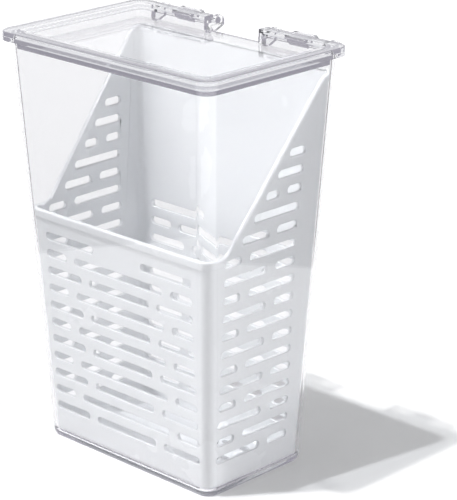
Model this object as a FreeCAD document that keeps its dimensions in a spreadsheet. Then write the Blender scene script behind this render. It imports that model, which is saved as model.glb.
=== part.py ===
import FreeCAD, Part
import math
import os
import Sketcher

# Herb keeper: a tapered clear bin, a slotted scoop basket inside it and a clear lid that
# snaps over two hinge bars moulded on the bin's back.
# Millimetres, +Z up, front at -Y. The origin is the middle of the footprint, on the floor.

V = FreeCAD.Vector
doc = FreeCAD.newDocument("HerbKeeper")

# Driving dimensions
SIZES = [
    ("bin_height", 205.6, "floor to the top of the bin's rim flange"),
    ("bin_base_width", 112.1, "outside, at the floor"),
    ("bin_base_depth", 66.7, "outside, at the floor"),
    ("bin_corner", 7.5, "upright corner radius, outside"),
    ("bin_draft", 3.03, "degrees that every wall leans out"),
    ("bin_wall", 1.7, "bin wall"),
    ("bin_floor", 3.0, "bin floor"),
    ("bin_foot_round", 4.5, "outside radius where wall meets floor"),
    ("bin_well_round", 3.5, "inside radius where wall meets floor"),
    ("flange_reach", 2.9, "rim flange beyond the wall"),
    ("flange_corner", 7.5, "rim flange's corner radius"),
    ("flange_thick", 2.0, "rim flange"),
    ("spout_width", 36.0, "drain notch in the back rim"),
    ("spout_drop", 5.0, "drain notch below the rim"),
    ("spout_corner", 2.5, "slope across the notch's lower corners"),
    ("lid_rim_thick", 2.2, "lid rim"),
    ("lid_seat_gap", 0.15, "lid rim above the bin flange"),
    ("lid_recess", 6.6, "panel below the lid's top"),
    ("lid_panel_thick", 1.8, "recessed panel"),
    ("lid_skirt_wall", 1.8, "wall round the recess"),
    ("lid_skirt_gap", 0.9, "skirt inside the bin's mouth"),
    ("lid_edge_round", 0.7, "top edge of the lid's rim"),
    ("hinge_bar_radius", 1.8, "round bar the lid snaps on"),
    ("hinge_bar_reach", 6.4, "bar centre behind the bin's back wall"),
    ("hinge_bar_drop", 1.5, "bar centre below the rim"),
    ("hinge_bar_length", 34.0, "bar between its ears"),
    ("hinge_spread", 37.5, "middle of each bar from the middle of the bin"),
    ("ear_thick", 3.0, "ears that hold a bar"),
    ("ear_round", 3.0, "ear radius round the bar"),
    ("ear_height", 8.0, "ear down the back wall"),
    ("clip_width", 12.0, "snap clip along the bar"),
    ("clip_wall", 1.5, "snap clip round the bar"),
    ("clip_gap", 0.1, "clip bore round the bar"),
    ("clip_mouth", 80.0, "degrees of the clip left open"),
    ("hinge_gap", 1.2, "flange cut back from the clip"),
    ("basket_gap", 1.0, "basket wall inside the bin's wall"),
    ("basket_wall", 1.8, "basket wall"),
    ("basket_floor", 2.0, "basket floor"),
    ("basket_foot_round", 4.0, "outside radius where basket wall meets floor"),
    ("basket_headroom", 3.55, "basket back below the shut lid's panel"),
    ("basket_front_share", 0.6114, "basket front, as a share of the basket back's height"),
    ("scoop_front_run", 11.0, "level stretch before the scoop rises"),
    ("scoop_back_run", 6.0, "level stretch behind the scoop"),
    ("scoop_round", 9.0, "radius where the scoop starts and ends"),
    ("lip_height", 4.2, "thick lip round the basket's mouth"),
    ("lip_stand", 0.6, "lip beyond the basket wall"),
    ("slot_height", 4.1, "height of a slot"),
    ("slot_first", 15.7, "lowest slot row above the basket's floor underside"),
    ("slot_last", 12.7, "top slot row of the front below the mouth"),
    ("slot_shortest", 4.7, "shortest slot, where the scoop leaves no more room"),
    ("slot_divided", 6.5, "shortest slot in front of a bridge"),
    ("front_slot_margin", 3.9, "outer slot ends inside the basket's side at the floor"),
    ("front_long_even", 30.0, "half length of the middle slot, long rows"),
    ("front_long_odd", 20.4, "half length of the middle slot, short rows"),
    ("slot_bridge", 5.4, "solid bridge between slots in a row"),
    ("badge_half", 16.0, "half width of the plain place in the top row"),
    ("side_margin_front", 4.0, "side slots behind the basket's front at the floor"),
    ("side_margin_back", 9.65, "side slots in front of the basket's back at the floor"),
    ("side_break_odd", 4.8, "middle of the bridge in the lowest side row"),
    ("side_break_even", -12.7, "middle of the bridge in the next side row"),
    ("side_back_step", 0.8, "how far each row beside the scoop reaches back past the one below"),
    ("side_break_step", 2.9, "how far the bridge moves back in each row beside the scoop"),
    ("scoop_margin", 6.4, "slots' front ends behind the scoop's slope"),
    ("overshoot", 5.0, "how far a cutting form reaches past what it cuts"),
    ("drain_length", 24.0, "slot in the basket's floor"),
    ("drain_width", 4.0, "slot in the basket's floor"),
    ("drain_across", 31.0, "drain slots, middle to middle, across the floor"),
    ("drain_back", 14.0, "drain rows, middle to middle, front to back"),
]

sheet = doc.addObject("Spreadsheet::Sheet", "Dims")
for line, (alias, value, note) in enumerate(SIZES, start=1):
    sheet.set("A%d" % line, alias)
    sheet.set("B%d" % line, str(value))
    sheet.setAlias("B%d" % line, alias)
    sheet.set("C%d" % line, note)
doc.recompute()

FRONT_ROWS = 11
LEVEL_ROWS = 12
DRAIN_SIDE = 3
HALF_TURN = 3.141592653589793
QUARTER_TURN = HALF_TURN / 2


def value_of(expression):
    """The number that an expression on the sheet gives."""
    number = sheet.evalExpression(expression)
    return float(getattr(number, "Value", number))


def origin_plane(body, role):
    """A body's own origin plane or axis."""
    for feature in body.Origin.OriginFeatures:
        if feature.Role == role:
            return feature
    raise RuntimeError("no plane " + role)


def new_body(name):
    """A PartDesign body that carries one piece."""
    body = doc.addObject("PartDesign::Body", name)
    body.Label = name
    return body


def new_sketch(body, name, role, offset=None):
    """A sketch on one of the body's origin planes, moved along the plane's normal."""
    sketch = body.newObject("Sketcher::SketchObject", name)
    sketch.AttachmentSupport = [(origin_plane(body, role), "")]
    sketch.MapMode = "FlatFace"
    if offset:
        sketch.setExpression("AttachmentOffset.Base.z", offset)
    return sketch


def bind(sketch, constraint, expression):
    """Add a dimension whose value follows an expression."""
    index = sketch.addConstraint(constraint)
    sketch.renameConstraint(index, "size%d" % index)
    sketch.setExpression("Constraints.size%d" % index, expression)
    return index


def rounded_rectangle(sketch, half_width, half_depth, radius):
    """Four sides and four quarter rounds about the sketch's origin."""
    wide, deep, turn = value_of(half_width), value_of(half_depth), value_of(radius)
    corners = [(1, -1), (1, 1), (-1, 1), (-1, -1)]
    centres = [V(a * (wide - turn), b * (deep - turn), 0) for a, b in corners]
    sides = [
        (V(-wide + turn, -deep, 0), V(wide - turn, -deep, 0)),
        (V(wide, -deep + turn, 0), V(wide, deep - turn, 0)),
        (V(wide - turn, deep, 0), V(-wide + turn, deep, 0)),
        (V(-wide, deep - turn, 0), V(-wide, -deep + turn, 0)),
    ]
    for start, end in sides:
        sketch.addGeometry(Part.LineSegment(start, end), False)
    for number, centre in enumerate(centres):
        circle = Part.Circle(centre, V(0, 0, 1), turn)
        first = (number - 1) * QUARTER_TURN
        sketch.addGeometry(Part.ArcOfCircle(circle, first, first + QUARTER_TURN), False)
    for number in range(4):
        sketch.addConstraint(Sketcher.Constraint("Tangent", number, 2, 4 + number, 1))
        sketch.addConstraint(Sketcher.Constraint("Tangent", 4 + number, 2, (number + 1) % 4, 1))
    sketch.addConstraint(Sketcher.Constraint("Horizontal", 0))
    sketch.addConstraint(Sketcher.Constraint("Vertical", 1))
    sketch.addConstraint(Sketcher.Constraint("Horizontal", 2))
    sketch.addConstraint(Sketcher.Constraint("Vertical", 3))
    for number in (5, 6, 7):
        sketch.addConstraint(Sketcher.Constraint("Equal", 4, number))
    bind(sketch, Sketcher.Constraint("Radius", 4, turn), radius)
    bind(sketch, Sketcher.Constraint("DistanceX", -1, 1, 1, 1, wide), half_width)
    bind(sketch, Sketcher.Constraint("DistanceX", 3, 1, -1, 1, wide), half_width)
    bind(sketch, Sketcher.Constraint("DistanceY", -1, 1, 2, 1, deep), half_depth)
    bind(sketch, Sketcher.Constraint("DistanceY", 0, 1, -1, 1, deep), half_depth)


def polygon(sketch, points):
    """A closed outline whose corners sit at pairs of expressions."""
    spots = [V(value_of(x), value_of(y), 0) for x, y in points]
    count = len(spots)
    for number in range(count):
        side = Part.LineSegment(spots[number], spots[(number + 1) % count])
        sketch.addGeometry(side, False)
    for number in range(count):
        sketch.addConstraint(Sketcher.Constraint("Coincident", number, 2, (number + 1) % count, 1))
    for number, (x, y) in enumerate(points):
        place_point(sketch, number, 1, x, y)


def place_point(sketch, geometry, end, x, y):
    """Hold one point of a sketch at a pair of expressions."""
    for kind, expression in (("DistanceX", x), ("DistanceY", y)):
        distance = value_of(expression)
        bind(sketch, Sketcher.Constraint(kind, -1, 1, geometry, end, distance), expression)


def slot_outline(sketch, start, end, height, thickness):
    """One slot with round ends, from start to end, centred on height."""
    first = sketch.GeometryCount
    radius = value_of(thickness) / 2
    left, right, level = value_of(start) + radius, value_of(end) - radius, value_of(height)
    up = V(0, 0, 1)
    lower = Part.LineSegment(V(left, level - radius, 0), V(right, level - radius, 0))
    upper = Part.LineSegment(V(right, level + radius, 0), V(left, level + radius, 0))
    right_end = Part.Circle(V(right, level, 0), up, radius)
    left_end = Part.Circle(V(left, level, 0), up, radius)
    sketch.addGeometry(lower, False)
    sketch.addGeometry(Part.ArcOfCircle(right_end, -QUARTER_TURN, QUARTER_TURN), False)
    sketch.addGeometry(upper, False)
    sketch.addGeometry(Part.ArcOfCircle(left_end, QUARTER_TURN, HALF_TURN + QUARTER_TURN), False)
    for number in range(4):
        after = (number + 1) % 4
        sketch.addConstraint(Sketcher.Constraint("Tangent", first + number, 2, first + after, 1))
    sketch.addConstraint(Sketcher.Constraint("Horizontal", first))
    bind(sketch, Sketcher.Constraint("Radius", first + 1, radius), thickness + " / 2")
    place_point(sketch, first + 3, 3, "(%s) + (%s) / 2" % (start, thickness), height)
    right_centre = "(%s) - (%s) / 2" % (end, thickness)
    bind(sketch, Sketcher.Constraint("DistanceX", -1, 1, first + 1, 3, right), right_centre)


def pad(body, name, sketch, length, both_ways=False):
    """Add a sketch pushed out along its normal."""
    feature = body.newObject("PartDesign::Pad", name)
    feature.Profile = sketch
    feature.Midplane = both_ways
    feature.setExpression("Length", length)
    doc.recompute()
    return feature


def pocket(body, name, sketch, length=None, reverse=False):
    """Take a sketch away, to a depth, or both ways through the whole piece."""
    before = body.Shape.Volume
    feature = body.newObject("PartDesign::Pocket", name)
    feature.Profile = sketch
    if length:
        feature.Reversed = reverse
        feature.setExpression("Length", length)
    else:
        feature.Type = "ThroughAll"
        feature.Midplane = True
    doc.recompute()
    if body.Shape.Volume > before - 1:
        raise RuntimeError(name + " cuts nothing")
    return feature


def pattern(body, name, original, role, spacing, copies):
    """Repeat one feature along an axis of the body."""
    feature = body.newObject("PartDesign::LinearPattern", name)
    feature.Originals = [original]
    feature.Direction = (origin_plane(body, role), [""])
    feature.Occurrences = copies
    feature.setExpression("Length", "(%s) * %d" % (spacing, copies - 1))
    body.Tip = feature
    doc.recompute()
    return feature


def mirror(body, name, originals, role):
    """Repeat features on the other side of one of the body's planes."""
    feature = body.newObject("PartDesign::Mirrored", name)
    feature.Originals = originals
    feature.MirrorPlane = (origin_plane(body, role), [""])
    body.Tip = feature
    doc.recompute()
    return feature


def round_edges(body, name, radius, wanted):
    """Fillet the edges of the body's last feature that a test picks out."""
    base = body.Tip
    edges = base.Shape.Edges
    picked = ["Edge%d" % (n + 1) for n, edge in enumerate(edges) if wanted(edge.BoundBox)]
    feature = body.newObject("PartDesign::Fillet", name)
    feature.Base = (base, picked)
    feature.setExpression("Radius", radius)
    doc.recompute()
    return feature


def level_at(box, height):
    """Whether an edge lies flat at one height."""
    return abs(box.ZMin - height) < 0.01 and abs(box.ZMax - height) < 0.01


# The mould's draft: half the outside width or depth at a height
def bin_half(across, height, inset="0"):
    return "Dims.bin_base_%s / 2 + tan(Dims.bin_draft * 1deg) * (%s) - (%s)" % (across, height, inset)


def tapered(body, name, bottom, inset, top):
    """A box that leans out with the draft, its upright corners rounded."""
    feature = body.newObject("PartDesign::AdditiveWedge", name)
    feature.Placement = FreeCAD.Placement(V(0, 0, 0), FreeCAD.Rotation(V(1, 0, 0), 90))
    feature.setExpression("Ymin", bottom)
    feature.setExpression("Ymax", top)
    for level, mark in ((bottom, ""), (top, "2")):
        for across, letter in (("width", "X"), ("depth", "Z")):
            half = bin_half(across, level, inset)
            feature.setExpression("%s%smin" % (letter, mark), "-(%s)" % half)
            feature.setExpression("%s%smax" % (letter, mark), half)
    body.Tip = feature
    doc.recompute()
    tall = value_of(top) - value_of(bottom)
    round_edges(body, name + "Corners", "Dims.bin_corner - (%s)" % inset,
                lambda box: box.ZLength > tall / 2)


def hollow_out(body, name, bottom, inset, top, foot_round):
    """Take a tapered box away from a body, rounded along its foot where a radius is given."""
    tool = new_body(name + "_form")
    tapered(tool, name + "Form", bottom, inset, top)
    if foot_round:
        level = value_of(bottom)
        round_edges(tool, name + "FormFoot", foot_round, lambda box: level_at(box, level))
    cut = body.newObject("PartDesign::Boolean", name)
    cut.Type = "Cut"
    cut.Group = [tool]
    body.Tip = cut
    doc.recompute()


BIN_TOP = "Dims.bin_height"
FLANGE_UNDER = "Dims.bin_height - Dims.flange_thick"
BACK_WALL = bin_half("depth", BIN_TOP)
BAR_BACK = BACK_WALL + " + Dims.hinge_bar_reach"
BAR_LEVEL = "Dims.bin_height - Dims.hinge_bar_drop"
EAR_ROOT = BACK_WALL + " - Dims.bin_wall / 2"
EAR_LOW = "Dims.bin_height - Dims.ear_height"
CLIP_BORE = "(Dims.hinge_bar_radius + Dims.clip_gap)"
CLIP_OUTSIDE = "(Dims.hinge_bar_radius + Dims.clip_gap + Dims.clip_wall)"


# Bin: one clear moulding, walls drafted so that it leaves the mould
def make_bin():
    body = new_body("container")
    tapered(body, "Shell", "0", "0", BIN_TOP)
    round_edges(body, "FootRound", "Dims.bin_foot_round", lambda box: level_at(box, 0))
    rim = new_sketch(body, "RimOutline", "XY_Plane", FLANGE_UNDER)
    reach = "-Dims.flange_reach"
    rounded_rectangle(rim, bin_half("width", BIN_TOP, reach), bin_half("depth", BIN_TOP, reach),
                      "Dims.flange_corner")
    pad(body, "RimFlange", rim, "Dims.flange_thick")
    add_ears(body)
    hollow_out(body, "Well", "Dims.bin_floor", "Dims.bin_wall", BIN_TOP + " + Dims.overshoot",
               "Dims.bin_well_round")
    cut_spout(body)
    cut_clip_room(body)
    add_bars(body)
    return body


def ear(body, name, offset):
    """One upright ear: level with the rim, then round over the hinge line, then sloped to the wall."""
    sketch = new_sketch(body, name + "Outline", "YZ_Plane", offset)
    back, level, radius = value_of(BAR_BACK), value_of(BAR_LEVEL), value_of("Dims.ear_round")
    drop = value_of("Dims.hinge_bar_drop")
    root, low = value_of(EAR_ROOT), value_of(EAR_LOW)
    crest = V(back - math.sqrt(radius ** 2 - drop ** 2), level + drop, 0)
    top = V(root, level + drop, 0)
    foot = V(root, low, 0)
    lean = math.atan2(level - low, back - root) - QUARTER_TURN
    heel = V(back + radius * math.cos(lean), level + radius * math.sin(lean), 0)
    circle = Part.Circle(V(back, level, 0), V(0, 0, 1), radius)
    sketch.addGeometry(Part.LineSegment(top, foot), False)
    sketch.addGeometry(Part.LineSegment(foot, heel), False)
    sketch.addGeometry(Part.ArcOfCircle(circle, lean, HALF_TURN - math.asin(drop / radius)), False)
    sketch.addGeometry(Part.LineSegment(crest, top), False)
    sketch.addConstraint(Sketcher.Constraint("Coincident", 0, 2, 1, 1))
    sketch.addConstraint(Sketcher.Constraint("Tangent", 1, 2, 2, 1))
    sketch.addConstraint(Sketcher.Constraint("Coincident", 2, 2, 3, 1))
    sketch.addConstraint(Sketcher.Constraint("Coincident", 3, 2, 0, 1))
    place_point(sketch, 0, 1, EAR_ROOT, BIN_TOP)
    place_point(sketch, 0, 2, EAR_ROOT, EAR_LOW)
    place_point(sketch, 2, 3, BAR_BACK, BAR_LEVEL)
    sketch.addConstraint(Sketcher.Constraint("Horizontal", 3))
    bind(sketch, Sketcher.Constraint("Radius", 2, radius), "Dims.ear_round")
    return pad(body, name, sketch, "Dims.ear_thick")


def add_ears(body):
    """Four ears on the back rim, one at each end of each hinge bar."""
    outer = ear(body, "OuterEar", "Dims.hinge_spread + Dims.hinge_bar_length / 2")
    inner = ear(body, "InnerEar", "Dims.hinge_spread - Dims.hinge_bar_length / 2 - Dims.ear_thick")
    mirror(body, "EarsBothSides", [outer, inner], "YZ_Plane")


def cut_spout(body):
    """The drain notch in the middle of the back rim."""
    sketch = new_sketch(body, "SpoutOutline", "XZ_Plane")
    half, low = "Dims.spout_width / 2", BIN_TOP + " - Dims.spout_drop"
    inner = half + " - Dims.spout_corner"
    high = BIN_TOP + " + 1"
    polygon(sketch, [("-(%s)" % half, low + " + Dims.spout_corner"), ("-(%s)" % inner, low), (inner, low),
                     (half, low + " + Dims.spout_corner"), (half, high), ("-(%s)" % half, high)])
    pocket(body, "Spout", sketch, "Dims.bin_base_depth")


def cut_clip_room(body):
    """The rim flange is cut back between the ears, so that the lid's clips can turn."""
    sketch = new_sketch(body, "ClipRoomOutline", "XY_Plane", FLANGE_UNDER + " - 1")
    near = BAR_BACK + " - " + CLIP_OUTSIDE + " - Dims.hinge_gap"
    far = BAR_BACK + " + " + CLIP_OUTSIDE
    left = "Dims.hinge_spread - Dims.hinge_bar_length / 2"
    right = "Dims.hinge_spread + Dims.hinge_bar_length / 2"
    polygon(sketch, [(left, near), (right, near), (right, far), (left, far)])
    room = pocket(body, "ClipRoom", sketch, "Dims.flange_thick + 5", reverse=True)
    mirror(body, "ClipRoomBothSides", [room], "YZ_Plane")


def add_bars(body):
    """The round bars between the ears, moulded in one with them."""
    sketch = new_sketch(body, "BarSection", "YZ_Plane", "Dims.hinge_spread")
    radius = value_of("Dims.hinge_bar_radius")
    circle = Part.Circle(V(value_of(BAR_BACK), value_of(BAR_LEVEL), 0), V(0, 0, 1), radius)
    sketch.addGeometry(circle, False)
    bind(sketch, Sketcher.Constraint("Radius", 0, radius), "Dims.hinge_bar_radius")
    place_point(sketch, 0, 3, BAR_BACK, BAR_LEVEL)
    bar = pad(body, "Bar", sketch, "Dims.hinge_bar_length + Dims.ear_thick", both_ways=True)
    mirror(body, "BarsBothSides", [bar], "YZ_Plane")


# Lid: one clear moulding, a rim with a recessed panel and two snap clips
LID_UNDER = "Dims.bin_height + Dims.lid_seat_gap"
LID_TOP = "Dims.bin_height + Dims.lid_seat_gap + Dims.lid_rim_thick"
PANEL_TOP = "(Dims.bin_height + Dims.lid_seat_gap + Dims.lid_rim_thick - Dims.lid_recess)"
PANEL_UNDER = "(Dims.bin_height + Dims.lid_seat_gap + Dims.lid_rim_thick - Dims.lid_recess" \
    " - Dims.lid_panel_thick)"


def make_lid():
    body = new_body("lid")
    skirt_inset = "Dims.bin_wall + Dims.lid_skirt_gap"
    tapered(body, "Skirt", PANEL_UNDER, skirt_inset, LID_UNDER + " + Dims.lid_rim_thick / 2")
    rim = new_sketch(body, "LidRimOutline", "XY_Plane", LID_UNDER)
    reach = "-Dims.flange_reach"
    rounded_rectangle(rim, bin_half("width", BIN_TOP, reach), bin_half("depth", BIN_TOP, reach),
                      "Dims.flange_corner")
    pad(body, "LidRim", rim, "Dims.lid_rim_thick")
    top_level = value_of(LID_TOP)
    round_edges(body, "LidEdge", "Dims.lid_edge_round", lambda box: level_at(box, top_level))
    recess_inset = skirt_inset + " + Dims.lid_skirt_wall"
    hollow_out(body, "Recess", PANEL_TOP, recess_inset, LID_TOP + " + Dims.overshoot", None)
    cut_lid_notch(body)
    cut_lid_clip_room(body)
    add_clips(body)
    return body


def cut_lid_notch(body):
    """The lid's back rim is open above the bin's drain notch."""
    sketch = new_sketch(body, "NotchOutline", "XZ_Plane")
    half = "Dims.spout_width / 2"
    high = LID_TOP + " + 1"
    polygon(sketch, [("-(%s)" % half, PANEL_TOP), (half, PANEL_TOP), (half, high), ("-(%s)" % half, high)])
    pocket(body, "Notch", sketch, "Dims.bin_base_depth")


def cut_lid_clip_room(body):
    """The rim is cut straight in front of each hinge bar."""
    sketch = new_sketch(body, "LidClipRoom", "XY_Plane", LID_UNDER + " - 1")
    near = BAR_BACK + " - " + CLIP_OUTSIDE + " - Dims.hinge_gap"
    far = BAR_BACK + " + " + CLIP_OUTSIDE
    left = "Dims.hinge_spread - Dims.hinge_bar_length / 2 - Dims.ear_thick - Dims.hinge_gap / 2"
    right = "Dims.hinge_spread + Dims.hinge_bar_length / 2 + Dims.ear_thick + Dims.hinge_gap / 2"
    polygon(sketch, [(left, near), (right, near), (right, far), (left, far)])
    room = pocket(body, "LidRoom", sketch, "Dims.lid_rim_thick + 5", reverse=True)
    mirror(body, "LidRoomBothSides", [room], "YZ_Plane")


def add_clips(body):
    """A C-shaped snap clip in the middle of each bar, joined to the rim by a flat arm."""
    arm = new_sketch(body, "ArmOutline", "YZ_Plane", "Dims.hinge_spread")
    near = BAR_BACK + " - " + CLIP_OUTSIDE + " - Dims.hinge_gap - 1"
    high = LID_TOP + " - Dims.lid_edge_round"
    arm_low = LID_UNDER
    polygon(arm, [(near, arm_low), (BAR_BACK, arm_low), (BAR_BACK, high), (near, high)])
    flat = pad(body, "ClipArm", arm, "Dims.clip_width", both_ways=True)
    knuckle = new_sketch(body, "ClipSection", "YZ_Plane", "Dims.hinge_spread")
    outside = value_of(CLIP_OUTSIDE)
    centre = V(value_of(BAR_BACK), value_of(BAR_LEVEL), 0)
    knuckle.addGeometry(Part.Circle(centre, V(0, 0, 1), outside), False)
    bind(knuckle, Sketcher.Constraint("Radius", 0, outside), CLIP_OUTSIDE)
    place_point(knuckle, 0, 3, BAR_BACK, BAR_LEVEL)
    ring = pad(body, "ClipRing", knuckle, "Dims.clip_width", both_ways=True)
    bore = new_sketch(body, "ClipBoreSection", "YZ_Plane", "Dims.hinge_spread")
    inside = value_of(CLIP_BORE)
    bore.addGeometry(Part.Circle(centre, V(0, 0, 1), inside), False)
    bind(bore, Sketcher.Constraint("Radius", 0, inside), CLIP_BORE)
    place_point(bore, 0, 3, BAR_BACK, BAR_LEVEL)
    hole = body.newObject("PartDesign::Pocket", "ClipBore")
    hole.Profile = bore
    hole.Midplane = True
    hole.setExpression("Length", "Dims.clip_width + 1")
    doc.recompute()
    mouth = new_sketch(body, "ClipMouthSection", "YZ_Plane", "Dims.hinge_spread")
    spread = "tan(Dims.clip_mouth * 1deg / 2) * (%s + 1)" % CLIP_OUTSIDE
    low = BAR_LEVEL + " - %s - 1" % CLIP_OUTSIDE
    polygon(mouth, [(BAR_BACK, BAR_LEVEL), (BAR_BACK + " - " + spread, low), (BAR_BACK + " + " + spread, low)])
    opening = body.newObject("PartDesign::Pocket", "ClipMouth")
    opening.Profile = mouth
    opening.Midplane = True
    opening.setExpression("Length", "Dims.clip_width + 1")
    doc.recompute()
    mirror(body, "ClipsBothSides", [flat, ring, hole, opening], "YZ_Plane")


# Basket: one glossy moulding that follows the bin's taper, with a scooped mouth
BASKET_UNDER = "Dims.bin_floor"
BASKET_BACK = "(%s - Dims.basket_headroom)" % PANEL_UNDER
BASKET_TALL = "(%s - %s)" % (BASKET_BACK, BASKET_UNDER)
FRONT_TALL = "(%s * Dims.basket_front_share)" % BASKET_TALL
BASKET_FRONT = "(%s + %s)" % (BASKET_UNDER, FRONT_TALL)
SLOT_PITCH = "((%s - Dims.slot_first - Dims.slot_last) / %d)" % (FRONT_TALL, FRONT_ROWS - 1)
BASKET_INSET = "Dims.bin_wall + Dims.basket_gap"
LIP_INSET = "Dims.bin_wall + Dims.basket_gap - Dims.lip_stand"
INSIDE_INSET = "Dims.bin_wall + Dims.basket_gap + Dims.basket_wall"
FRONT_FACE = "(-(%s))" % bin_half("depth", BASKET_FRONT, BASKET_INSET)
BACK_FACE = bin_half("depth", BASKET_BACK, BASKET_INSET)
SCOOP_START = "(%s + Dims.scoop_front_run)" % FRONT_FACE
SCOOP_END = "(%s - Dims.scoop_back_run)" % BACK_FACE
SCOOP_RISE = "((%s - %s) / (%s - %s))" % (BASKET_BACK, BASKET_FRONT, SCOOP_END, SCOOP_START)


def slot_level(row):
    """Height of a slot row, counted upwards from the lowest."""
    return "Dims.bin_floor + Dims.slot_first + %s * %d" % (SLOT_PITCH, row)


def scoop_outline(sketch, drop):
    """All that lies above the basket's mouth line, seen from the side, with the line lowered."""
    line = [("-Dims.bin_base_depth", BASKET_FRONT), (SCOOP_START, BASKET_FRONT),
            (SCOOP_END, BASKET_BACK), ("Dims.bin_base_depth", BASKET_BACK)]
    points = [(along, "%s - (%s)" % (level, drop)) for along, level in line]
    above = BASKET_BACK + " + Dims.overshoot * 2"
    points.append(("Dims.bin_base_depth", above))
    points.append(("-Dims.bin_base_depth", above))
    polygon(sketch, points)


def scooped(name, inset, bottom, drop):
    """A tapered solid whose top is cut to the scoop line, in a working body of its own."""
    body = new_body(name)
    tapered(body, name + "Form", bottom, inset, BASKET_BACK + " + Dims.overshoot")
    mouth = new_sketch(body, name + "Mouth", "YZ_Plane")
    scoop_outline(mouth, drop)
    pocket(body, name + "Cut", mouth)
    bends = value_of(SCOOP_START), value_of(SCOOP_END)

    def at_bend(box):
        on_line = any(abs(box.YMin - y) < 0.01 and abs(box.YMax - y) < 0.01 for y in bends)
        return on_line and box.XLength > 20

    round_edges(body, name + "Bends", "Dims.scoop_round", at_bend)
    return body


def basket_outside():
    """The basket's outer form: the wall, and a thick lip that follows the scoop."""
    wall = scooped("wall_blank", BASKET_INSET, BASKET_UNDER, "0")
    floor_level = value_of(BASKET_UNDER)
    round_edges(wall, "WallFoot", "Dims.basket_foot_round", lambda box: level_at(box, floor_level))
    lip = scooped("lip_blank", LIP_INSET, BASKET_UNDER, "0")
    under_lip = scooped("under_lip", "0", BASKET_UNDER + " - 1", "Dims.lip_height")
    band = doc.addObject("Part::Cut", "LipBand")
    band.Base = lip
    band.Tool = under_lip
    outside = doc.addObject("Part::Fuse", "BasketOutside")
    outside.Base = wall
    outside.Tool = band
    outside.Refine = True
    doc.recompute()
    return outside


def cut_slots(body, name, role, slots):
    """Slots through both facing walls at once, each given as start, end and height."""
    sketch = new_sketch(body, name + "Outline", role)
    for start, end, level in slots:
        slot_outline(sketch, start, end, level, "Dims.slot_height")
    return pocket(body, name, sketch)


def cut_front_slots(body):
    """Rows of slots in the front and back walls, in a brick pattern about the middle."""
    bridge = "Dims.slot_bridge"
    end = "(%s - Dims.front_slot_margin)" % bin_half("width", "0", BASKET_INSET)
    for name, first, half in (("OddRow", 0, "Dims.front_long_odd"), ("EvenRow", 1, "Dims.front_long_even")):
        level = slot_level(first)
        slots = [("-%s" % end, "-%s - %s" % (half, bridge), level), ("-%s" % half, half, level),
                 ("%s + %s" % (half, bridge), end, level)]
        row = cut_slots(body, "Front" + name, "XZ_Plane", slots)
        pattern(body, "Front" + name + "s", row, "Z_Axis", SLOT_PITCH + " * 2", FRONT_ROWS // 2)
    level = slot_level(FRONT_ROWS - 1)
    badge = "Dims.badge_half"
    cut_slots(body, "FrontTopRow", "XZ_Plane",
              [("-%s" % end, "-%s" % badge, level), (badge, end, level)])


def side_row(row):
    """The slots of one side row: a bridge moves from row to row, the scoop trims the front."""
    level = slot_level(row)
    at_slope = "%s + (%s - %s) / %s + Dims.scoop_margin" % (SCOOP_START, level, BASKET_FRONT, SCOOP_RISE)
    foot = bin_half("depth", "0", BASKET_INSET)
    front = "Dims.side_margin_front - (%s)" % foot
    if value_of(at_slope) > value_of(front):
        front = at_slope
    above = max(row - LEVEL_ROWS, 0)
    back = "%s - Dims.side_margin_back + Dims.side_back_step * %d" % (foot, above)
    middle = "Dims.side_break_odd" if row % 2 == 0 else "Dims.side_break_even"
    middle = "%s + Dims.side_break_step * %d" % (middle, above)
    before = "%s - Dims.slot_bridge / 2" % middle
    after = "%s + Dims.slot_bridge / 2" % middle
    if value_of("%s - (%s) - Dims.slot_shortest" % (back, front)) < 0:
        return []
    if value_of("%s - (%s) - Dims.slot_divided" % (before, front)) < 0:
        return [(front, back, level)]
    if value_of("%s - (%s) - Dims.slot_shortest" % (back, after)) < 0:
        return [(front, back, level)]
    return [(front, before, level), (after, back, level)]


def cut_side_slots(body):
    """Rows of slots in both side walls, level with the front's and on up the scoop while they fit."""
    for first, name in enumerate(("SideOddRow", "SideEvenRow")):
        row = cut_slots(body, name, "YZ_Plane", side_row(first))
        pattern(body, name + "s", row, "Z_Axis", SLOT_PITCH + " * 2", LEVEL_ROWS // 2)
    slots = []
    row = LEVEL_ROWS
    while side_row(row):
        slots.extend(side_row(row))
        row += 1
    cut_slots(body, "ScoopRows", "YZ_Plane", slots)


def cut_drains(body):
    """Drain slots in the basket's floor."""
    sketch = new_sketch(body, "DrainOutline", "XY_Plane", BASKET_UNDER + " - 1")
    middle = (DRAIN_SIDE - 1) / 2
    half = "Dims.drain_length / 2"
    for column in range(DRAIN_SIDE):
        across = "Dims.drain_across * %s" % (column - middle)
        for row in range(DRAIN_SIDE):
            back = "Dims.drain_back * %s" % (row - middle)
            slot_outline(sketch, across + " - " + half, across + " + " + half, back, "Dims.drain_width")
    pocket(body, "Drains", sketch, "Dims.basket_floor + 2", reverse=True)


def make_basket():
    body = new_body("basket")
    base = body.newObject("PartDesign::FeatureBase", "BasketSolid")
    base.BaseFeature = basket_outside()
    body.Tip = base
    doc.recompute()
    well_floor = BASKET_UNDER + " + Dims.basket_floor"
    hollow_out(body, "BasketWell", well_floor, INSIDE_INSET, BASKET_BACK + " + Dims.overshoot",
               "Dims.basket_foot_round - Dims.basket_wall")
    cut_front_slots(body)
    cut_side_slots(body)
    cut_drains(body)
    return body


def check_document():
    """Stop on any failed object, before anything is written."""
    for item in doc.Objects:
        if "Invalid" in item.State or "Error" in item.State:
            raise RuntimeError("%s failed" % item.Name)


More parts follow.
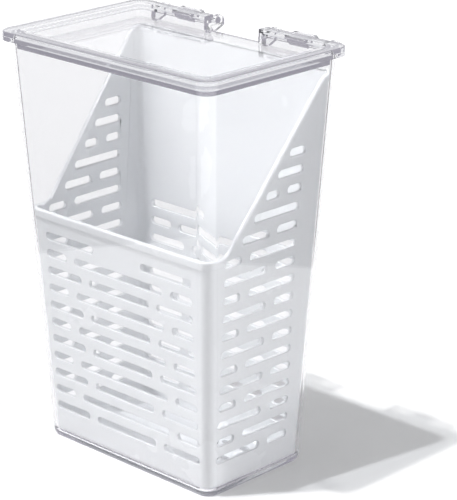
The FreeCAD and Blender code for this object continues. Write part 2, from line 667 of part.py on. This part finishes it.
def write_pieces(pieces):
    """Write each piece to a file named for it."""
    os.makedirs("parts", exist_ok=True)
    for piece in pieces:
        shape = piece.Shape
        if shape.isNull() or not shape.isValid():
            raise RuntimeError(piece.Label + " has no valid shape")
        print(piece.Label, len(shape.Solids), "solid", round(shape.Volume), "cubic mm", shape.BoundBox)
        shape.exportStep("parts/%s.step" % piece.Label)


pieces = [make_bin(), make_lid(), make_basket()]
doc.recompute()
check_document()
write_pieces(pieces)
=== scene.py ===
import math

import bmesh
import bpy
from mathutils import Matrix, Vector


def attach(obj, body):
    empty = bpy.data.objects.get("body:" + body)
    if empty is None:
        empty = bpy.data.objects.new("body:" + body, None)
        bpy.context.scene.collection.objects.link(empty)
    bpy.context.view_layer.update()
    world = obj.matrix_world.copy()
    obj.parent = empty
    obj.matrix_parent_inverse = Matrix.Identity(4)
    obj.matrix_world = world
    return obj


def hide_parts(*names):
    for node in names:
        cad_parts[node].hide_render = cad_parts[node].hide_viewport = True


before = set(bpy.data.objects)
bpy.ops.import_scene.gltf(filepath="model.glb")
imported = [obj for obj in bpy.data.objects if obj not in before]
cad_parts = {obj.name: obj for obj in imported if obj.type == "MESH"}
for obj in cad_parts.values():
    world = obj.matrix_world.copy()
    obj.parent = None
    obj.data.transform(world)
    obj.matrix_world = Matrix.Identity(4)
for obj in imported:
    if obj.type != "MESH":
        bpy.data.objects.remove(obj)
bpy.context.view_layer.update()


# Camera, at the photographed angle: above the keeper's front right corner, a little over
# a metre away, with a long lens, so that the drafted walls close only a little.
camera_azimuth = math.radians(44.16)
camera_height_angle = math.radians(19.42)
camera_place = Vector((0.7104, -0.6935, 0.4532))
lens_in_frame_heights = 4.388
sensor = 36.0
camera_reach = 60

looking_back = Vector((
    math.sin(camera_azimuth) * math.cos(camera_height_angle),
    -math.cos(camera_azimuth) * math.cos(camera_height_angle),
    math.sin(camera_height_angle),
))
looking_right = Vector((math.cos(camera_azimuth), math.sin(camera_azimuth), 0))
looking_up = looking_back.cross(looking_right)
camera_data = bpy.data.cameras.new("camera")
camera_data.sensor_width = sensor
camera_data.lens = lens_in_frame_heights * sensor
camera_data.clip_end = camera_reach
camera = bpy.data.objects.new("camera", camera_data)
turn = Matrix((looking_right, looking_up, looking_back)).transposed().to_4x4()
camera.matrix_world = Matrix.Translation(camera_place) @ turn
bpy.context.scene.collection.objects.link(camera)
bpy.context.scene.camera = camera
bpy.context.scene.view_settings.view_transform = "Standard"


# Floor of the studio: a wide matt white sheet that takes the keeper's shadow and
# grows brighter with distance, so that it meets a white background.
def link(tree, source, output, target, socket):
    """Join one node's output to another node's input."""
    tree.links.new(source.outputs[output], target.inputs[socket])


def new_material(name):
    """A material with an empty node tree and an output node."""
    material = bpy.data.materials.new(name)
    material.use_nodes = True
    tree = material.node_tree
    tree.nodes.clear()
    output = tree.nodes.new("ShaderNodeOutputMaterial")
    return material, tree, output


def map_range(tree, source, output, from_ends, to_ends):
    """A Map Range node over one output, with its two pairs of ends."""
    node = tree.nodes.new("ShaderNodeMapRange")
    node.inputs["From Min"].default_value, node.inputs["From Max"].default_value = from_ends
    node.inputs["To Min"].default_value, node.inputs["To Max"].default_value = to_ends
    link(tree, source, output, node, "Value")
    return node


def seen_directly(tree):
    """A socket that is one for rays of the camera, of reflections and through clear plastic,
    and nought where the studio only lights things."""
    path = tree.nodes.new("ShaderNodeLightPath")
    total = path.outputs["Is Camera Ray"]
    for name in ("Is Glossy Ray", "Is Transmission Ray"):
        more = tree.nodes.new("ShaderNodeMath")
        more.operation = "MAXIMUM"
        tree.links.new(total, more.inputs[0])
        tree.links.new(path.outputs[name], more.inputs[1])
        total = more.outputs[0]
    return total


floor_size = 14.0
floor_white = 0.93
glow_near = 0.03
glow_far = 0.2
glow_starts = 0.28
glow_full = 1.2

floor_mesh = bpy.data.meshes.new("floor")
half = floor_size / 2
floor_corners = [(-half, -half, 0), (half, -half, 0), (half, half, 0), (-half, half, 0)]
floor_mesh.from_pydata(floor_corners, [], [(0, 1, 2, 3)])
floor = bpy.data.objects.new("floor", floor_mesh)
bpy.context.scene.collection.objects.link(floor)
floor_material, tree, output = new_material("studio_floor")
matt = tree.nodes.new("ShaderNodeBsdfDiffuse")
matt.inputs["Color"].default_value = (floor_white, floor_white, floor_white, 1)
glow = tree.nodes.new("ShaderNodeEmission")
place = tree.nodes.new("ShaderNodeTexCoord")
distance = tree.nodes.new("ShaderNodeVectorMath")
distance.operation = "LENGTH"
link(tree, place, "Object", distance, 0)
rise = map_range(tree, distance, "Value", (glow_starts, glow_full), (glow_near, glow_far))
glow_strength = tree.nodes.new("ShaderNodeMath")
glow_strength.operation = "MULTIPLY"
link(tree, rise, 0, glow_strength, 1)
tree.links.new(seen_directly(tree), glow_strength.inputs[0])
link(tree, glow_strength, 0, glow, "Strength")
both = tree.nodes.new("ShaderNodeAddShader")
link(tree, matt, 0, both, 0)
link(tree, glow, 0, both, 1)
link(tree, both, 0, output, "Surface")
floor.data.materials.append(floor_material)


# Studio light: a pale room, dim overhead and behind the camera. A strong even light from
# high up in front and to the left throws the shadow to the right, and a wide weak light
# stands on each side.
room_colour = (0.965, 0.975, 1.0, 1)
room_on_things = 0.34
room_seen = 0.95
ceiling_seen = 0.4
ceiling_starts = 0.4
ceiling_full = 0.7
gloom_share = 0.2
gloom_starts = 0.72
gloom_full = 0.93

world = bpy.data.worlds.new("studio")
world.use_nodes = True
tree = world.node_tree
room = tree.nodes["Background"]
room.inputs["Color"].default_value = room_colour
way = tree.nodes.new("ShaderNodeTexCoord")
height = tree.nodes.new("ShaderNodeSeparateXYZ")
link(tree, way, "Generated", height, 0)
ceiling = map_range(tree, height, "Z", (ceiling_starts, ceiling_full), (room_seen, ceiling_seen))
towards_camera = tree.nodes.new("ShaderNodeVectorMath")
towards_camera.operation = "DOT_PRODUCT"
towards_camera.inputs[1].default_value = looking_back
link(tree, way, "Generated", towards_camera, 0)
gloom = map_range(tree, towards_camera, "Value", (gloom_starts, gloom_full), (1, gloom_share))
walls = tree.nodes.new("ShaderNodeMath")
walls.operation = "MULTIPLY"
link(tree, ceiling, 0, walls, 0)
link(tree, gloom, 0, walls, 1)
room_strength = tree.nodes.new("ShaderNodeMapRange")
room_strength.inputs["To Min"].default_value = room_on_things
link(tree, walls, 0, room_strength, "To Max")
tree.links.new(seen_directly(tree), room_strength.inputs["Value"])
link(tree, room_strength, 0, room, "Strength")
bpy.context.scene.world = world

key_strength = 2.0
key_width = math.radians(1.4)
key_beam = Vector((0.127, 0.295, -0.947))
key_data = bpy.data.lights.new("key", "SUN")
key_data.energy = key_strength
key_data.angle = key_width
key = bpy.data.objects.new("key", key_data)
key.matrix_world = key_beam.to_track_quat("-Z", "Y").to_matrix().to_4x4()
bpy.context.scene.collection.objects.link(key)

fill_left = ((-1.3, -1.45, 0.65), 13.0)
fill_right = ((1.65, 0.95, 0.6), 15.0)
fill_size = 1.0
fill_aim = Vector((0, 0, 0.1))
for fill_place, watts in (fill_left, fill_right):
    fill_data = bpy.data.lights.new("fill", "AREA")
    fill_data.size = fill_size
    fill_data.energy = watts
    fill = bpy.data.objects.new("fill", fill_data)
    fill_beam = fill_aim - Vector(fill_place)
    fill_turn = fill_beam.to_track_quat("-Z", "Y").to_matrix().to_4x4()
    fill.matrix_world = Matrix.Translation(fill_place) @ fill_turn
    bpy.context.scene.collection.objects.link(fill)


# Two grey cards, one on each side of the keeper, out of the picture. Only reflections and
# the clear plastic see them, so that clear walls and edges show in a white room. They are
# short, so that few other views have one behind the keeper.
card_grey = (0.12, 0.12, 0.13, 1)
card_aside = 0.28
card_length = 0.3
card_height = 0.4

card_material, tree, output = new_material("grey_card")
card_light = tree.nodes.new("ShaderNodeEmission")
card_light.inputs["Color"].default_value = card_grey
link(tree, card_light, 0, output, "Surface")
looking_away = Vector((-math.sin(camera_azimuth), math.cos(camera_azimuth), 0))
card_lift = Vector((0, 0, card_height))
for side in (-1, 1):
    near = looking_right * card_aside * side - looking_away * card_length / 2
    far = near + looking_away * card_length
    card_mesh = bpy.data.meshes.new("card")
    card_mesh.from_pydata([near, far, far + card_lift, near + card_lift], [], [(0, 1, 2, 3)])
    card = bpy.data.objects.new("card", card_mesh)
    card.data.materials.append(card_material)
    card.visible_camera = False
    card.visible_diffuse = False
    card.visible_shadow = False
    bpy.context.scene.collection.objects.link(card)


# Bin: one clear injection moulding with drafted walls, polished inside and out. Its rim
# turns outwards into a flange, and the two round hinge bars at the back are moulded
# between ears on that rim, so nothing is screwed or glued on.
clear_tint = (0.968, 0.967, 0.973, 1)
clear_last_turn = 5
clear_painted_held_glow = (0.47, 0.46, 0.51, 1)
clear_depth_tint = (0.63, 0.62, 0.69, 1)
clear_depth = 12.0
clear_ripple_scale = 22.0
clear_ripple_detail = 2
clear_ripple_height = 0.0004
clear_ripple_strength = 0.12
clear_roughest = 0.008
plastic_index = 1.49
shade_through_clear = (0.82, 0.825, 0.83, 1)
same_corner = 2e-6
flat_angle = math.radians(0.4)
sharp_angle = math.radians(35)


def joined_faces(node, name):
    """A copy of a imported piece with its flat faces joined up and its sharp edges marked."""
    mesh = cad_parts[node].data.copy()
    mesh.name = name
    mesh.materials.clear()
    shape = bmesh.new()
    shape.from_mesh(mesh)
    bmesh.ops.remove_doubles(shape, verts=shape.verts, dist=same_corner)
    bmesh.ops.dissolve_limit(shape, angle_limit=flat_angle, verts=shape.verts, edges=shape.edges)
    for line in shape.edges:
        line.smooth = line.is_manifold and line.calc_face_angle(0) < sharp_angle
    for face in shape.faces:
        face.smooth = True
    shape.to_mesh(mesh)
    shape.free()
    piece = bpy.data.objects.new(name, mesh)
    bpy.context.scene.collection.objects.link(piece)
    return piece


def noise_texture(tree, place, scale, detail):
    """A Noise Texture node in the piece's own coordinates."""
    node = tree.nodes.new("ShaderNodeTexNoise")
    node.inputs["Scale"].default_value = scale
    node.inputs["Detail"].default_value = detail
    link(tree, place, "Object", node, "Vector")
    return node


def small_relief(tree, texture, strength, height):
    """A Bump node that lifts the surface by a texture's value."""
    node = tree.nodes.new("ShaderNodeBump")
    node.inputs["Strength"].default_value = strength
    node.inputs["Distance"].default_value = height
    link(tree, texture, 0, node, "Height")
    return node


def clear_plastic(name):
    """Polished clear plastic: faint ripples from the mould, a tint that deepens with the
    way through it, a light shadow, and a painted pale glow that stands in for light
    held inside a sheet for many turns."""
    material, tree, output = new_material(name)
    shader = tree.nodes.new("ShaderNodeBsdfPrincipled")
    shader.inputs["Base Color"].default_value = clear_tint
    shader.inputs["Transmission Weight"].default_value = 1
    shader.inputs["IOR"].default_value = plastic_index
    place = tree.nodes.new("ShaderNodeTexCoord")
    ripple = noise_texture(tree, place, clear_ripple_scale, clear_ripple_detail)
    bump = small_relief(tree, ripple, clear_ripple_strength, clear_ripple_height)
    rough = map_range(tree, ripple, 0, (0, 1), (0, clear_roughest))
    link(tree, rough, 0, shader, "Roughness")
    link(tree, bump, 0, shader, "Normal")
    veil = tree.nodes.new("ShaderNodeBsdfTransparent")
    veil.inputs["Color"].default_value = shade_through_clear
    path = tree.nodes.new("ShaderNodeLightPath")
    far_in = tree.nodes.new("ShaderNodeMath")
    far_in.operation = "GREATER_THAN"
    far_in.inputs[1].default_value = clear_last_turn
    # Painted glow: a ray that has turned more than five times in the plastic sees a fixed pale
    # light instead of tracing on.
    painted_held_glow = tree.nodes.new("ShaderNodeEmission")
    painted_held_glow.inputs["Color"].default_value = clear_painted_held_glow
    guided = tree.nodes.new("ShaderNodeMixShader")
    link(tree, path, "Ray Depth", far_in, 0)
    link(tree, far_in, 0, guided, 0)
    link(tree, shader, 0, guided, 1)
    link(tree, painted_held_glow, 0, guided, 2)
    mix = tree.nodes.new("ShaderNodeMixShader")
    link(tree, path, "Is Shadow Ray", mix, 0)
    link(tree, guided, 0, mix, 1)
    link(tree, veil, 0, mix, 2)
    link(tree, mix, 0, output, "Surface")
    depth = tree.nodes.new("ShaderNodeVolumeAbsorption")
    depth.inputs["Color"].default_value = clear_depth_tint
    depth.inputs["Density"].default_value = clear_depth
    link(tree, depth, 0, output, "Volume")
    return material


bin_piece = joined_faces("container", "clear_bin")
bin_piece.data.materials.append(clear_plastic("bin_plastic"))
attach(bin_piece, "bin")
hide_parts("container")


# Lid: one clear moulding of the same plastic that rests on the bin's rim, with a
# recessed panel. Two C-shaped clips at its back are snapped over the bin's hinge bars.
lid_piece = joined_faces("lid", "clear_lid")
lid_piece.data.materials.append(clear_plastic("lid_plastic"))
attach(lid_piece, "lid")
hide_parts("lid")


# Basket: one white moulding with a soft gloss that stands loose in the bin, slotted on all
# four walls and in its floor. Its lip is rounded all along the scooped mouth, and the
# slots' edges have the small round of a mould.
basket_white = (0.86, 0.875, 0.885, 1)
basket_white_pale = (0.885, 0.895, 0.9, 1)
slot_edge_round = 0.0005
slot_edge_samples = 6
basket_glow_depth = 0.12
basket_glow_radius = (0.004, 0.004, 0.004)
basket_glow_scale = 0.6
mottle_scale = 26
mottle_detail = 3
peel_scale = 900
peel_detail = 2
peel_strength = 0.12
peel_height = 0.00008
basket_smoothest = 0.2
basket_roughest = 0.32
lip_round = 0.0011
lip_steps = 4
above_front_slots = 0.12
facing_up = 0.5
facing_sideways = 0.01


def white_plastic(name):
    """Glossy white plastic with the faint mottle and orange peel of a moulding, and with
    its sharp edges softened."""
    material, tree, output = new_material(name)
    shader = tree.nodes.new("ShaderNodeBsdfPrincipled")
    shader.inputs["IOR"].default_value = plastic_index
    shader.inputs["Subsurface Weight"].default_value = basket_glow_depth
    shader.inputs["Subsurface Radius"].default_value = basket_glow_radius
    shader.inputs["Subsurface Scale"].default_value = basket_glow_scale
    place = tree.nodes.new("ShaderNodeTexCoord")
    mottle = noise_texture(tree, place, mottle_scale, mottle_detail)
    colour = tree.nodes.new("ShaderNodeMix")
    colour.data_type = "RGBA"
    colour.inputs["A"].default_value = basket_white
    colour.inputs["B"].default_value = basket_white_pale
    rough = map_range(tree, mottle, 0, (0, 1), (basket_smoothest, basket_roughest))
    peel = noise_texture(tree, place, peel_scale, peel_detail)
    bump = small_relief(tree, peel, peel_strength, peel_height)
    soft_edges = tree.nodes.new("ShaderNodeBevel")
    soft_edges.samples = slot_edge_samples
    soft_edges.inputs["Radius"].default_value = slot_edge_round
    link(tree, soft_edges, 0, bump, "Normal")
    link(tree, mottle, 0, colour, "Factor")
    link(tree, colour, "Result", shader, "Base Color")
    link(tree, rough, 0, shader, "Roughness")
    link(tree, bump, 0, shader, "Normal")
    link(tree, shader, 0, output, "Surface")
    return material


basket_piece = joined_faces("basket", "white_basket")

# Only the sharp edges along the scooped mouth are rounded in the mesh: those of the faces
# that look up, above the front's slots.
shape = bmesh.new()
shape.from_mesh(basket_piece.data)
weight = shape.edges.layers.float.new("bevel_weight_edge")
for line in shape.edges:
    mouth = [face for face in line.link_faces
             if abs(face.normal.x) < facing_sideways and face.normal.z > facing_up
             and face.calc_center_median().z > above_front_slots]
    if mouth and not line.smooth:
        line[weight] = 1.0
shape.to_mesh(basket_piece.data)
shape.free()
rounding = basket_piece.modifiers.new("edges", "BEVEL")
rounding.width = lip_round
rounding.segments = lip_steps
rounding.limit_method = "WEIGHT"
rounding.use_clamp_overlap = False
rounding.harden_normals = True
basket_piece.data.materials.append(white_plastic("basket_plastic"))
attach(basket_piece, "basket")
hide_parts("basket")
